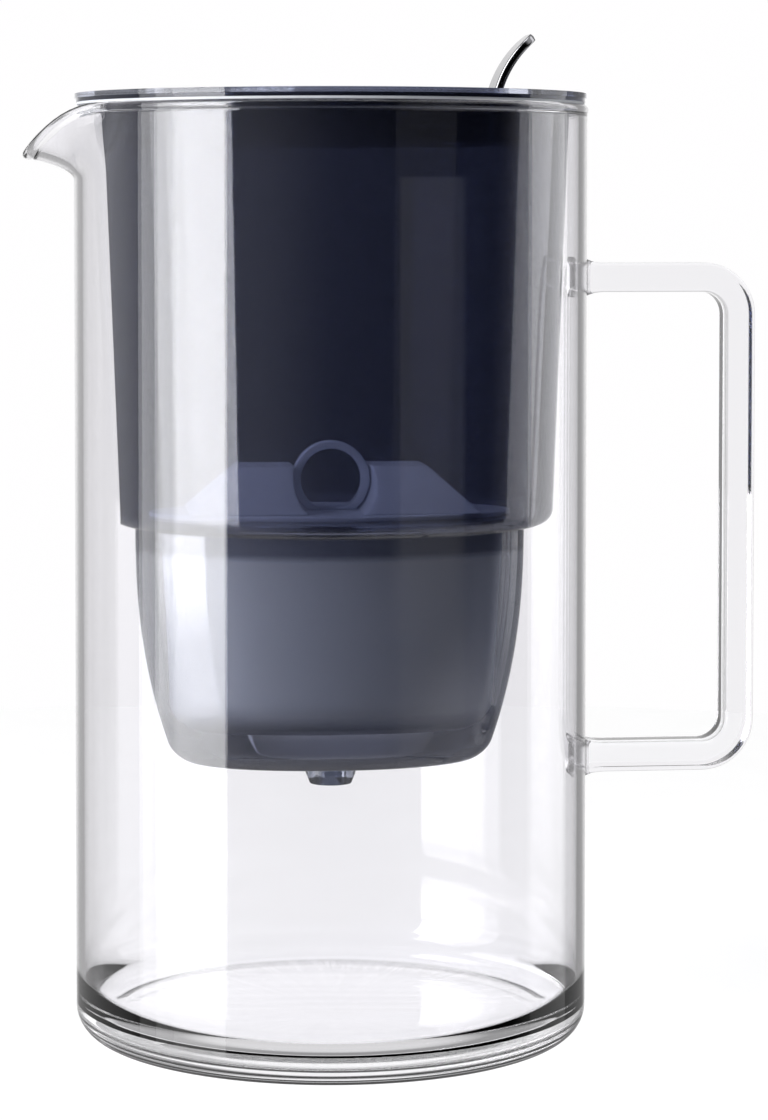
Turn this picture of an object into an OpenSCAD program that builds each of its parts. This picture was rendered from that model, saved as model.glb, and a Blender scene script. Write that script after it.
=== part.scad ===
// Water filter pitcher: a glass jug with a fused glass handle, a filter funnel hung in its
// rim, and a thin lid whose filling flap is tipped open by a curved thumb lever.
// Millimetres, +Z up. The origin is the middle of the base, on the axis of the jug.
// The handle points to +X and the pouring lip to -X.

/* [Glass jug] */
// Outer radius of the jug
jug_r = 68; // [62:0.5:76]
// Thickness of the jug wall
glass_t = 2.2; // [1.8:0.1:2.8]
// Height of the jug to the top of its rim
jug_h = 247; // [235:1:270]
// Thickness of the glass floor
floor_t = 6.5; // [4:0.5:8]
// Radius of the outer corner round the base
heel_r = 8; // [4:0.5:10]
// Radius of the inner corner round the floor
inner_heel_r = 11; // [6:0.5:14]
// Radius of the polished bead along the rim
bead_r = 1.4; // [1.2:0.05:1.6]

/* [Pouring lip] */
// How far the lip reaches out past the wall
lip_reach = 13.5; // [8:0.5:17]
// How far the tip of the lip lies under the rim
lip_dip = 13; // [7:0.5:16]
// Height over which the wall swells out into the lip
lip_rise = 10; // [7:0.5:14]
// Half the angle that the mouth of the lip takes up
lip_half_angle = 26; // [20:1:32]

/* [Glass handle] */
// Thickness of the glass bar, seen from the side
bar_t = 7.8; // [6:0.1:9]
// Width of the glass bar, seen from behind
bar_w = 11; // [9:0.5:13]
// Rounding of the edges of the bar
bar_round = 2.4; // [1.2:0.1:2.8]
// Height of the middle of the upper arm
arm_top_z = 201.3; // [185:0.5:212]
// Height of the middle of the lower arm
arm_low_z = 72.5; // [55:0.5:90]
// How far the handle stands out from the wall
handle_reach = 46; // [38:1:55]
// Radius of the middle of the bar round the two corners
handle_bend_r = 10; // [7:0.5:15]
// How much the weld foot is bigger than the bar on each side
weld_grow = 1.6; // [0.8:0.1:2.4]
// Thickness of the weld foot in front of the wall
weld_t = 1.4; // [0.8:0.1:2.5]

/* [Funnel] */
// Wall of the funnel
funnel_wall = 1.8; // [1.4:0.1:2.2]
// Gap between the jug wall and the top of the funnel
funnel_gap = 2.5; // [1.6:0.1:3.5]
// Draft of the funnel wall
funnel_draft = 2.1; // [1:0.1:2.6]
// Height of the underside of the funnel floor
shelf_z = 136.6; // [130:0.5:145]
// Radius of the outer corner round the funnel floor
shelf_round = 4; // [2:0.5:6]
// Thickness of the funnel's hanging flange
flange_t = 1; // [0.8:0.1:1.6]
// Gap between the jug wall and the flat on the pouring side, at the top
flat_gap = 5.6; // [4.5:0.1:9]
// Thickness of the silicone gasket on the glass rim
gasket_t = 0.6; // [0.4:0.1:1.2]

/* [Filter cup] */
// Length of the cup at its top, from spout side to handle side
cup_len = 104.2; // [101:0.2:108]
// Width of the cup at its top
cup_wid = 60; // [56:1:70]
// Depth of the cup under the funnel floor
cup_depth = 64.2; // [62:0.5:74]
// Wall of the cup
cup_wall = 1.6; // [1.2:0.1:2.2]
// How much the two ends of the cup lean in toward its foot
cup_lean = 10.6; // [8:0.2:12]
// How much the two sides of the cup lean in toward its foot
cup_side_lean = 6.4; // [4:0.2:7]
// Radius of the corner round the cup's foot
cup_corner_r = 5.6; // [4:0.2:8]
// Diameter of the outlet nozzle
nozzle_d = 13.4; // [11:0.2:16]
// Bore of the outlet nozzle
nozzle_bore = 6; // [4:0.2:7]
// Height of the outlet nozzle under the cup
nozzle_h = 6; // [4:0.5:10]

/* [Cartridge] */
// Length of the cartridge body at its top
body_len = 79; // [74:0.5:82]
// Width of the cartridge body at its top
body_wid = 40; // [36:0.5:42]
// Height of the cartridge body
body_h = 54; // [45:0.5:56]
// Wall of the cartridge body
body_wall = 1.4; // [1:0.1:2]
// Length of the flange that the cartridge hangs by
cap_len = 96.8; // [93:0.2:98]
// Width of the flange that the cartridge hangs by
cap_wid = 47; // [46:0.5:50]
// Thickness of the cap's flange and shell
cap_t = 1.3; // [1:0.1:1.8]
// Thickness of the cartridge's silicone seal
seal_t = 0.8; // [0.6:0.1:1.2]
// How deep the seal and the flange sit in the funnel floor
seat_sink = 0.9; // [0.5:0.1:1]
// Height of the cap's shoulders above its flange
shoulder_h = 12.2; // [9:0.2:14]
// Length of the flat top of the shoulders
shoulder_top_len = 50; // [46:0.5:56]
// Length of the foot of the shoulders
shoulder_foot_len = 77; // [72:0.5:82]
// Width of the flat top of the shoulders
shoulder_top_wid = 17.5; // [15:0.5:20]
// Width of the foot of the shoulders
shoulder_foot_wid = 35; // [33:0.5:38]
// Outer radius of the pull ring
ring_r = 10.3; // [9.5:0.1:12]
// Radius of the finger hole in the pull ring
ring_hole_r = 8.1; // [7:0.1:8.4]
// Thickness of the pull ring
ring_t = 3.4; // [2.5:0.1:5]
// Height of the middle of the pull ring above the flange
ring_up = 8.2; // [7.8:0.1:9.4]
// Share of the filling that is ion exchange resin
resin_share = 0.48; // [0.3:0.01:0.7]

/* [Lid] */
// Thickness of the lid plate
lid_t = 1.3; // [1:0.1:2]
// How far the edge of the lid stays inside the jug's outer radius
lid_inset = 0.2; // [0:0.1:1.5]
// Depth of the lid's skirt under the plate
skirt_h = 12; // [9:0.5:15]
// Wall of the lid's skirt
skirt_t = 1.5; // [1.2:0.1:2]
// Width of a snap tongue in the skirt
tongue_w = 5.6; // [4:0.2:8]
// Width of the slits beside a snap tongue
slit_w = 0.7; // [0.5:0.1:1]
// Angle of the snap tongues from the cross line of the lid
tongue_angle = 38; // [30:1:44]
// Radius of the filling flap
flap_r = 38; // [32:0.5:40]
// Distance of the middle of the flap from its hinge pin
flap_arm = 44; // [42:0.5:48]
// Width of the ledge that the flap rests on
ledge_w = 2.4; // [1.6:0.1:3.5]
// Distance of the flap's hinge pin from the edge of the lid
hinge_inset = 17.8; // [16.8:0.1:19.3]
// Diameter of the hinge pin
pin_d = 3; // [2:0.1:3.4]
// Width of the flap's hinge tail
tail_w = 24; // [20:0.5:30]
// Thickness of each hinge lug under the lid
lug_t = 3; // [2:0.1:4]

/* [Thumb lever] */
// Thickness of the lever blade
lever_t = 2.2; // [1.6:0.1:2.6]
// Width of the lever blade
lever_w = 14; // [10:0.5:18]
// Radius that the blade's front face is bent to
lever_bend_r = 29.6; // [27:0.1:34]
// How high the lever stands above the lid
lever_h = 16.4; // [13:0.1:18]
// Distance of the lever's root from the hinge pin
lever_back = 6.2; // [5.2:0.1:6.5]
// Rounding of the two corners at the lever's tip
lever_tip_r = 4.5; // [2:0.5:6.5]

/* [Fits] */
// Side gap of pieces that lift out
lift_gap = 0.5; // [0.4:0.05:0.8]
// Gap round the flap
flap_gap = 0.45; // [0.35:0.05:0.8]
// Gap round the hinge pin in the flap's barrel
pin_gap = 0.15; // [0.1:0.05:0.3]
// Gap between pieces that are pressed or welded together
snug_gap = 0.05; // [0.03:0.01:0.1]

/* [Hidden] */
$fn = 96;

// A length that reaches past the whole pitcher, for cuts
far = 400;

// Jug
jug_in_r = jug_r - glass_t;
rim_mid_r = jug_r - glass_t / 2;
lip_sink = 0.15;
lip_t = glass_t - 2 * lip_sink;
lip_overlap = 1.2;
lip_sill_z = jug_h - lip_dip - lip_rise;
lip_cols = 16;
lip_rows = 12;
lip_drop_power = 2.1;
lip_curl_power = 2.4;
lip_side_power = 1.4;
lip_edge_n = 3;

// Handle
bar_x = jug_r + handle_reach - bar_t / 2;

// Funnel, from its flange down
flange_z = jug_h + gasket_t;
flange_top = flange_z + flange_t;
flange_inset = 0.6;
flange_r = jug_r - flange_inset;
gasket_inset = 0.8;
funnel_top_r = jug_in_r - funnel_gap;
funnel_h = flange_z - shelf_z;
funnel_low_r = funnel_top_r - funnel_h * tan(funnel_draft);
flat_x = jug_in_r - flat_gap;
shelf_top = shelf_z + funnel_wall;
seat_z = shelf_top - seat_sink;

// Cup
cup_foot_z = shelf_z - cup_depth;
cup_lean_power = 2.4;
cup_cols = 48;
cup_rows = 10;
spigot_wall = 1.4;
spigot_d = nozzle_bore + 2 * spigot_wall;
spigot_up = 0.8;
nozzle_bevel = 1.1;
nozzle_taper_h = 2.7;

// Cartridge
cap_z = seat_z + seal_t;
cap_top = cap_z + cap_t;
body_draft = 0.035;
body_foot_z = cap_z - body_h;
body_floor_z = body_foot_z + body_wall;
screen_t = 0.5;
divider_t = 0.8;
plug_h = 2.4;
bed_gap = 0.15;
fill_top = cap_z - plug_h - screen_t;
fill_low = body_floor_z + screen_t;
fill_h = fill_top - fill_low - divider_t;
resin_top = fill_low + fill_h * resin_share;
seal_w = 3;
ring_z = cap_top + ring_up;
ring_sill = 1.1;
slot_n = 4;
slot_w = 1.4;
slot_pitch = 3.6;
shoulder_root_t = 3.3;

// Lid
lid_z = flange_top;
lid_top = lid_z + lid_t;
lid_r = jug_r - lid_inset;
skirt_r = funnel_top_r - funnel_wall - lift_gap - skirt_h * tan(funnel_draft);
skirt_flat_x = flat_x - funnel_wall - lift_gap - skirt_h * tan(funnel_draft);
skirt_foot_z = lid_z - skirt_h;
ledge_t = 1.6;
flap_rim_h = 1.8;
flap_rim_t = 1.4;
hinge_x = lid_r - hinge_inset;
flap_x = hinge_x - flap_arm;
barrel_wall = 1.9;
barrel_r = pin_d / 2 + barrel_wall;
pin_z = lid_top - barrel_r;
lug_y = tail_w / 2 + flap_gap;
lug_foot_z = pin_z - barrel_r;
recess_x = hinge_x + barrel_r + flap_gap;
tail_room = 6.6;
pin_short = 0.2;
slit_stop = 2;

// Lever: its blade is a slice of a tube whose middle lies toward the handle
root_x = hinge_x - lever_back;
tang_lift = 0.6;
tang_z = lug_foot_z + tang_lift;
blade_root = 0.6;
lever_low = 7;
lever_mid_x = root_x - lever_t / 2 + sqrt(pow(lever_bend_r, 2) - pow(lever_low, 2));
lever_mid_z = lid_top - lever_low;
lever_turn = asin((lever_low + lever_h) / lever_bend_r);
boss_t = 2;
rivet_d = 1.8;
rivet_edge = 3;
rivet_y = lever_w / 2 - rivet_edge;

// Points of an arc about a middle, from one angle to another
function arc(x, y, r, from, to, steps = 8) =
  [for (i = [0 : steps]) let (a = from + (to - from) * i / steps) [x + r * cos(a), y + r * sin(a)]];

// Share of the full swell at an angle from the middle of the lip
function lip_swell(a) = abs(a) < lip_half_angle ? pow(cos(90 * a / lip_half_angle), lip_side_power) : 0;

// Section of the lip at an angle: up its outer face, round its edge and down its inner face
function lip_section(a) =
  let (
    w = lip_swell(a),
    low = lip_sill_z - lip_overlap,
    high = jug_h - lip_sink - lip_t / 2 - lip_dip * pow(w, lip_drop_power),
    out = [for (j = [0 : lip_rows]) let (t = j / lip_rows)
      [jug_r - lip_sink + lip_reach * w * pow(t, lip_curl_power), low + (high - low) * t]],
    turn = [for (j = [0 : lip_rows]) let (t = j / lip_rows)
      atan2(lip_reach * w * lip_curl_power * pow(t, lip_curl_power - 1), high - low)],
    inn = [for (j = [0 : lip_rows])
      out[j] + lip_t * [-cos(turn[j]), sin(turn[j])]],
    end = turn[lip_rows],
    mid = (out[lip_rows] + inn[lip_rows]) / 2
  )
  concat(out,
    [for (k = [1 : lip_edge_n]) lip_edge(mid, end, 180 * k / (lip_edge_n + 1))],
    [for (j = [lip_rows : -1 : 0]) inn[j]]);

// A point on the round edge of the lip, an angle on from its outer corner
function lip_edge(mid, turn, on) =
  mid + lip_t / 2 * [cos(on) * cos(turn) + sin(on) * sin(turn), sin(on) * cos(turn) - cos(on) * sin(turn)];

// A closed solid through a list of rings, each of as many points
module loft(rings) {
  n = len(rings[0]);
  m = len(rings);
  polyhedron(
    points = [for (r = rings) each r],
    faces = concat(
      [[for (j = [n - 1 : -1 : 0]) j]],
      [[for (j = [0 : n - 1]) (m - 1) * n + j]],
      [for (i = [0 : m - 2]) for (j = [0 : n - 1]) let (k = (j + 1) % n)
        each [[i * n + j, i * n + k, (i + 1) * n + j], [i * n + k, (i + 1) * n + k, (i + 1) * n + j]]]
    ));
}

// The drooping lip, swept round the jug axis over the mouth
module lip_shell() {
  loft([for (i = [-lip_cols : lip_cols])
    let (a = i / lip_cols * (lip_half_angle + lip_overlap))
      [for (p = lip_section(a)) [-p[0] * cos(a), -p[0] * sin(a), p[1]]]]);
}

// Wall, floor and rim bead of the jug as one outline, turned about the axis
module jug_outline() {
  difference() {
    union() {
      polygon(concat([[0, 0]], arc(jug_r - heel_r, heel_r, heel_r, -90, 0),
        [[jug_r, jug_h - bead_r], [0, jug_h - bead_r]]));
      translate([rim_mid_r, jug_h - bead_r])
        circle(r = bead_r);
    }
    polygon(concat([[0, floor_t]],
      arc(jug_in_r - inner_heel_r, floor_t + inner_heel_r, inner_heel_r, -90, 0),
      [[jug_in_r, jug_h - bead_r], [jug_in_r, jug_h + 1], [0, jug_h + 1]]));
  }
}

module glass_jug() {
  color([0.86, 0.9, 0.92, 0.35]) {
    difference() {
      rotate_extrude()
        jug_outline();
      // The mouth, which the lip fills
      translate([0, 0, lip_sill_z])
        linear_extrude(far)
          polygon([[0, 0],
            far * [-cos(lip_half_angle), -sin(lip_half_angle)],
            far * [-cos(lip_half_angle), sin(lip_half_angle)]]);
    }
    lip_shell();
  }
}

// Section of the glass bar: a block with round edges
module bar_section(grow = 0) {
  t = bar_t + 2 * grow;
  w = bar_w + 2 * grow;
  r = bar_round + grow;
  square([t - 2 * r, w], center = true);
  square([t, w - 2 * r], center = true);
  for (x = [-1, 1], y = [-1, 1])
    translate([x * (t / 2 - r), y * (w / 2 - r)])
      circle(r = r);
}

// One level arm of the handle, from inside the wall to the bend
module handle_arm(z) {
  translate([0, 0, z])
    rotate([0, 90, 0])
      linear_extrude(bar_x - handle_bend_r)
        bar_section();
  // The weld foot where the bar was fused on
  translate([0, 0, z])
    rotate([0, 90, 0])
      linear_extrude(jug_r + weld_t)
        bar_section(weld_grow);
}

// A quarter bend of the handle
module handle_bend(z, turn) {
  translate([bar_x - handle_bend_r, 0, z])
    rotate([90, turn, 0])
      rotate_extrude(angle = 90)
        translate([handle_bend_r, 0])
          bar_section();
}

module glass_handle() {
  color([0.86, 0.9, 0.92, 0.35])
    difference() {
      union() {
        handle_arm(arm_top_z);
        handle_arm(arm_low_z);
        handle_bend(arm_top_z - handle_bend_r, 0);
        handle_bend(arm_low_z + handle_bend_r, 90);
        translate([bar_x, 0, arm_low_z + handle_bend_r])
          linear_extrude(arm_top_z - arm_low_z - 2 * handle_bend_r)
            bar_section();
      }
      cylinder(r = jug_r, h = far);
    }
}

module rim_gasket() {
  color([0.8, 0.82, 0.84])
    translate([0, 0, jug_h])
      rotate_extrude()
        translate([funnel_top_r + lift_gap, 0])
          square([jug_r - gasket_inset - funnel_top_r - lift_gap, gasket_t]);
}

// Everything on the axis side of the flat that leaves room for water on its way to the lip
module lip_side_trim(x, z, draft = funnel_draft) {
  intersection() {
    children();
    translate([-x, 0, z])
      rotate([0, -draft, 0])
        translate([0, -far / 2, -far])
          cube([far, far, 2 * far]);
  }
}

// An upright oval disc
module oval(len, wid, h) {
  scale([1, wid / len, 1])
    cylinder(d = len, h = h);
}

module funnel() {
  color([0.25, 0.29, 0.38, 0.8])
    difference() {
      union() {
        lip_side_trim(flat_x, flange_z)
          rotate_extrude()
            polygon(concat([[0, shelf_z]],
              arc(funnel_low_r - shelf_round, shelf_z + shelf_round, shelf_round, -90, -funnel_draft),
              [[funnel_top_r, flange_z], [funnel_top_r, flange_z + flange_t / 2], [0, flange_z + flange_t / 2]]));
        translate([0, 0, flange_z])
          cylinder(r = flange_r, h = flange_t);
      }
      // The chamber that the tap water stands in
      lip_side_trim(flat_x - funnel_wall, flange_z)
        rotate_extrude()
          polygon(concat([[0, shelf_top]],
            arc(funnel_low_r - shelf_round, shelf_z + shelf_round, shelf_round - funnel_wall,
              -90, -funnel_draft),
            [[funnel_top_r - funnel_wall, flange_z],
             [funnel_top_r - funnel_wall + 0.1, flange_top + 1], [0, flange_top + 1]]));
      // Seat of the cartridge and the hole that its body hangs through
      translate([0, 0, seat_z])
        oval(cap_len + 2 * lift_gap, cap_wid + 2 * lift_gap, seat_sink + 1);
      translate([0, 0, shelf_z - 1])
        oval(body_len + 4 * lift_gap, body_wid + 4 * lift_gap, funnel_wall + 2);
    }
}

// One oval ring of the cup's surface
function oval_ring(rx, ry, z) =
  [for (i = [0 : cup_cols - 1]) let (a = 360 * i / cup_cols) [rx * cos(a), -ry * sin(a), z]];

// Rings up a cup, from its flat foot round the corner and up walls that lean out less and less
function cup_rings(len, wid, depth, corner, above) =
  let (downs = concat([for (a = [90 : -15 : 15]) depth - corner + corner * sin(a)],
    [for (j = [cup_rows : -1 : 0]) (depth - corner) * j / cup_rows]))
  concat([for (down = downs)
    let (
      lean = pow(down / depth, cup_lean_power),
      past = max(0, down - depth + corner),
      inset = corner - sqrt(corner * corner - past * past)
    )
    oval_ring(len / 2 - cup_lean * lean - inset, wid / 2 - cup_side_lean * lean - inset, -down)],
    above > 0 ? [oval_ring(len / 2, wid / 2, above)] : []);

module cup_form(inset = 0, above = 0) {
  loft(cup_rings(cup_len - 2 * inset, cup_wid - 2 * inset, cup_depth - inset,
    cup_corner_r - inset, above));
}

module filter_cup() {
  color([0.45, 0.5, 0.6, 0.6])
    difference() {
      translate([0, 0, shelf_z])
        cup_form();
      translate([0, 0, shelf_z])
        cup_form(cup_wall, 1);
      translate([0, 0, cup_foot_z - 1])
        cylinder(d = spigot_d + 2 * snug_gap, h = cup_wall + 2);
    }
}

module outlet_nozzle() {
  color([0.8, 0.84, 0.88, 0.6])
    translate([0, 0, cup_foot_z - nozzle_h])
      rotate_extrude()
        polygon([[nozzle_bore / 2, 0], [nozzle_d / 2 - nozzle_bevel, 0], [nozzle_d / 2, nozzle_taper_h],
          [nozzle_d / 2, nozzle_h], [spigot_d / 2, nozzle_h],
          [spigot_d / 2, nozzle_h + cup_wall + spigot_up],
          [nozzle_bore / 2, nozzle_h + cup_wall + spigot_up]]);
}

// Size of the cartridge body lower down, as what its draft takes off the length
function body_less(z) = 2 * body_draft * (cap_z - z);

// The room inside the cartridge body between two heights, less a gap all round
module body_room(from, to, gap = 0) {
  len = body_len - 2 * body_wall - 2 * gap;
  wid = body_wid - 2 * body_wall - 2 * gap;
  translate([0, 0, from])
    scale([1, wid / len, 1])
      cylinder(r1 = (len - body_less(from)) / 2, r2 = (len - body_less(to)) / 2, h = to - from);
}

module cartridge_body() {
  color([0.55, 0.58, 0.66])
    difference() {
      translate([0, 0, body_foot_z])
        scale([1, body_wid / body_len, 1])
          cylinder(r1 = (body_len - body_less(body_foot_z)) / 2, r2 = body_len / 2, h = body_h);
      body_room(body_floor_z, cap_z + 1);
      // Outlet slots in the floor
      for (i = [-slot_n : slot_n])
        translate([i * body_len / (2 * slot_n + 4) - slot_w / 2, -body_wid / 4, body_foot_z - 1])
          cube([slot_w, body_wid / 2, body_wall + 2]);
    }
}

// A block with sloping ends and sloping sides, from its foot up
module tent(foot_len, foot_wid, top_len, top_wid, h) {
  intersection() {
    rotate([90, 0, 0])
      linear_extrude(foot_wid, center = true)
        polygon([[-foot_len / 2, 0], [foot_len / 2, 0], [top_len / 2, h], [-top_len / 2, h]]);
    rotate([90, 0, 90])
      linear_extrude(foot_len, center = true)
        polygon([[-foot_wid / 2, 0], [foot_wid / 2, 0], [top_wid / 2, h], [-top_wid / 2, h]]);
  }
}

// The round bay between the shoulders that the pull ring stands in
module ring_bay(r, wid) {
  translate([0, 0, ring_z])
    rotate([90, 0, 0])
      cylinder(r = r, h = wid, center = true);
}

module cartridge_cap() {
  color([0.42, 0.45, 0.53])
    difference() {
      union() {
        translate([0, 0, cap_z])
          oval(cap_len, cap_wid, cap_t);
        // The plug that closes the body
        body_room(cap_z - plug_h, cap_z + cap_t / 2, snug_gap);
        difference() {
          translate([0, 0, cap_top - 0.1])
            tent(shoulder_foot_len, shoulder_foot_wid, shoulder_top_len, shoulder_top_wid, shoulder_h + 0.1);
          ring_bay(ring_r + lift_gap, far);
        }
      }
      // Hollow of the shoulders, open to the filling below
      difference() {
        translate([0, 0, cap_z - plug_h - 0.1])
          tent(shoulder_foot_len - 2 * shoulder_root_t, shoulder_foot_wid - 2 * shoulder_root_t,
            shoulder_top_len - 2 * cap_t, shoulder_top_wid - 2 * cap_t, shoulder_h + plug_h);
        intersection() {
          ring_bay(ring_r + lift_gap + cap_t, far);
          translate([-far / 2, -far / 2, cap_z])
            cube(far);
        }
        translate([-ring_r - lift_gap, -far / 2, cap_z])
          cube([2 * (ring_r + lift_gap), far, cap_t]);
      }
      // Intake slots in the flat tops
      for (side = [-1, 1], i = [-1 : 1])
        translate([side * (shoulder_top_len / 4 + ring_r / 2) - slot_w / 2 + i * slot_pitch,
          -shoulder_top_wid / 4, cap_top + shoulder_h - cap_t - 1])
          cube([slot_w, shoulder_top_wid / 2, cap_t + 2]);
    }
}

module pull_ring() {
  color([0.5, 0.53, 0.6])
    difference() {
      ring_bay(ring_r, ring_t);
      intersection() {
        ring_bay(ring_hole_r, 2 * ring_t);
        translate([-far / 2, -far / 2, cap_top + ring_sill])
          cube(far);
      }
      translate([-far / 2, -far / 2, cap_top - far])
        cube(far);
    }
}

module cartridge_seal() {
  color([0.12, 0.13, 0.15])
    translate([0, 0, seat_z])
      difference() {
        oval(body_len + 4 * lift_gap + 2 * seal_w, body_wid + 4 * lift_gap + 2 * seal_w - 1, seal_t);
        translate([0, 0, -1])
          oval(body_len + 2 * snug_gap, body_wid + 2 * snug_gap, seal_t + 2);
      }
}

module intake_screen() {
  color([0.85, 0.86, 0.88])
    body_room(fill_top, fill_top + screen_t, bed_gap);
}

module carbon_bed() {
  color([0.1, 0.1, 0.11])
    body_room(resin_top + divider_t, fill_top, bed_gap);
}

module bed_divider() {
  color([0.9, 0.9, 0.88])
    body_room(resin_top, resin_top + divider_t, bed_gap);
}

module resin_bed() {
  color([0.75, 0.6, 0.35])
    body_room(fill_low, resin_top, bed_gap);
}

module outlet_screen() {
  color([0.85, 0.86, 0.88])
    body_room(body_floor_z, fill_low, bed_gap);
}

// Outline of the flap: a disc with a straight tail toward the hinge
module flap_outline(grow, tail_end) {
  translate([flap_x, 0])
    circle(r = flap_r + grow);
  translate([flap_x, -tail_w / 2 - grow])
    square([tail_end - flap_x, tail_w + 2 * grow]);
}

// One slit beside a snap tongue, cut through the skirt
module tongue_slit(angle, side) {
  rotate([0, 0, angle])
    translate([skirt_r - 2 * skirt_t, side * (tongue_w + slit_w) / 2 - slit_w / 2, skirt_foot_z - 1])
      cube([4 * skirt_t, slit_w, skirt_h + 1 - slit_stop]);
}

module lid_frame() {
  color([0.4, 0.44, 0.52, 0.8])
    difference() {
      union() {
        translate([0, 0, lid_z])
          cylinder(r = lid_r, h = lid_t);
        // Skirt that drops into the funnel
        difference() {
          lip_side_trim(skirt_flat_x, skirt_foot_z, 0)
            translate([0, 0, skirt_foot_z])
              cylinder(r = skirt_r, h = skirt_h + lid_t / 2);
          lip_side_trim(skirt_flat_x - skirt_t, skirt_foot_z, 0)
            translate([0, 0, skirt_foot_z - 1])
              cylinder(r = skirt_r - skirt_t, h = skirt_h + 1);
          for (turn = [-90, 90], a = [-tongue_angle, tongue_angle], side = [-1, 1])
            tongue_slit(turn + a, side);
        }
        // Ledge that carries the flap
        translate([flap_x, 0, lid_z - ledge_t])
          cylinder(r = flap_r + flap_gap + ledge_w, h = ledge_t + lid_t / 2);
        // Hinge lugs
        for (side = [-1, 1])
          translate([hinge_x - barrel_r, side * (lug_y + lug_t / 2) - lug_t / 2, lug_foot_z + barrel_r])
            cube([2 * barrel_r, lug_t, lid_z - lug_foot_z - barrel_r + lid_t / 2]);
        for (side = [-1, 1])
          translate([hinge_x, side * (lug_y + lug_t / 2), pin_z])
            rotate([90, 0, 0])
              cylinder(r = barrel_r, h = lug_t, center = true);
      }
      // Filling opening in the plate, and the smaller one in the ledge
      translate([0, 0, lid_z])
        linear_extrude(lid_t + 1)
          flap_outline(flap_gap, recess_x);
      translate([flap_x, 0, lid_z - ledge_t - 1])
        cylinder(r = flap_r - ledge_w, h = ledge_t + 2);
      // Room for the tail under the plate
      translate([root_x - boss_t - tail_room, -lug_y, lug_foot_z - 1])
        cube([recess_x - root_x + boss_t + tail_room, 2 * lug_y, lid_z - lug_foot_z + 2]);
      // Pin bore
      translate([hinge_x, 0, pin_z])
        rotate([90, 0, 0])
          cylinder(r = pin_d / 2 + snug_gap, h = 2 * (lug_y + lug_t) + 2, center = true);
    }
}

module hinge_pin() {
  color([0.75, 0.76, 0.78])
    translate([hinge_x, 0, pin_z])
      rotate([90, 0, 0])
        cylinder(d = pin_d, h = 2 * (lug_y + lug_t - pin_short), center = true);
}

module fill_flap() {
  color([0.4, 0.44, 0.52, 0.8])
    difference() {
      union() {
        translate([0, 0, lid_z])
          linear_extrude(lid_t)
            flap_outline(0, hinge_x);
        // Stiffening ring under the disc, inside the ledge
        translate([flap_x, 0, lid_z - flap_rim_h])
          difference() {
            cylinder(r = flap_r - ledge_w - 2 * flap_gap, h = flap_rim_h + lid_t / 2);
            translate([0, 0, -1])
              cylinder(r = flap_r - ledge_w - 2 * flap_gap - flap_rim_t, h = flap_rim_h + 1);
          }
        // Hinge barrel
        translate([hinge_x, 0, pin_z])
          rotate([90, 0, 0])
            cylinder(r = barrel_r, h = tail_w, center = true);
        // Boss that grips the root of the lever
        translate([root_x - lever_t / 2 - boss_t, -lever_w / 2 - boss_t, lug_foot_z])
          cube([lever_t + boss_t + lever_back, lever_w + 2 * boss_t, lid_z - lug_foot_z + lid_t / 2]);
      }
      translate([hinge_x, 0, pin_z])
        rotate([90, 0, 0])
          cylinder(r = pin_d / 2 + pin_gap, h = tail_w + 2, center = true);
      // Slot for the root of the lever
      translate([root_x - lever_t / 2 - snug_gap, -lever_w / 2 - snug_gap, tang_z - snug_gap])
        cube([lever_t + 2 * snug_gap, lever_w + 2 * snug_gap, far]);
      // Rivet holes
      for (side = [-1, 1])
        translate([root_x - lever_t / 2 - boss_t - 1, side * rivet_y, (tang_z + lid_z) / 2])
          rotate([0, 90, 0])
            cylinder(d = rivet_d + 2 * snug_gap, h = boss_t + lever_t / 2 + 1);
    }
}

module thumb_lever() {
  color([0.82, 0.83, 0.85])
    difference() {
      union() {
        // Upright root in the flap
        translate([root_x - lever_t / 2, -lever_w / 2, tang_z])
          cube([lever_t, lever_w, lid_top - tang_z + blade_root]);
        // Curved blade, cut square to its bend and rounded at the tip
        intersection() {
          translate([lever_mid_x, 0, lever_mid_z])
            rotate([90, 0, 0])
              linear_extrude(lever_w, center = true)
                intersection() {
                  difference() {
                    circle(r = lever_bend_r);
                    circle(r = lever_bend_r - lever_t);
                  }
                  polygon([[0, 0], far * [-1, 0], far * [-cos(lever_turn), sin(lever_turn)]]);
                }
          translate([root_x - lever_t, 0, lid_top]) {
            translate([0, -lever_w / 2, 0])
              cube([far, lever_w, lever_h - lever_tip_r]);
            translate([0, lever_tip_r - lever_w / 2, 0])
              cube([far, lever_w - 2 * lever_tip_r, lever_h]);
            for (side = [-1, 1])
              translate([0, side * (lever_w / 2 - lever_tip_r), lever_h - lever_tip_r])
                rotate([0, 90, 0])
                  cylinder(r = lever_tip_r, h = far);
          }
        }
      }
      for (side = [-1, 1])
        translate([root_x - lever_t, side * rivet_y, (tang_z + lid_z) / 2])
          rotate([0, 90, 0])
            cylinder(d = rivet_d + 2 * snug_gap, h = 2 * lever_t);
    }
}

module lever_rivets() {
  color([0.75, 0.76, 0.78])
    for (side = [-1, 1])
      translate([root_x - lever_t / 2 - boss_t, side * rivet_y, (tang_z + lid_z) / 2])
        rotate([0, 90, 0])
          cylinder(d = rivet_d, h = boss_t + lever_t / 2);
}

glass_jug();
glass_handle();
rim_gasket();
funnel();
filter_cup();
outlet_nozzle();
cartridge_body();
cartridge_cap();
pull_ring();
cartridge_seal();
intake_screen();
carbon_bed();
bed_divider();
resin_bed();
outlet_screen();
lid_frame();
hinge_pin();
fill_flap();
thumb_lever();
lever_rivets();
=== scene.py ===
# %% [markdown]
# # A glass filter pitcher
# The pitcher is a cylinder of clear glass with a drooping lip and a fused bar handle. A dark
# see-through funnel hangs in its rim, and an oval cup under the funnel holds the cartridge.
# The CAD frame gives every size and place. This file gives the pieces their smooth skins,
# their finishes, the studio and the camera.

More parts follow.
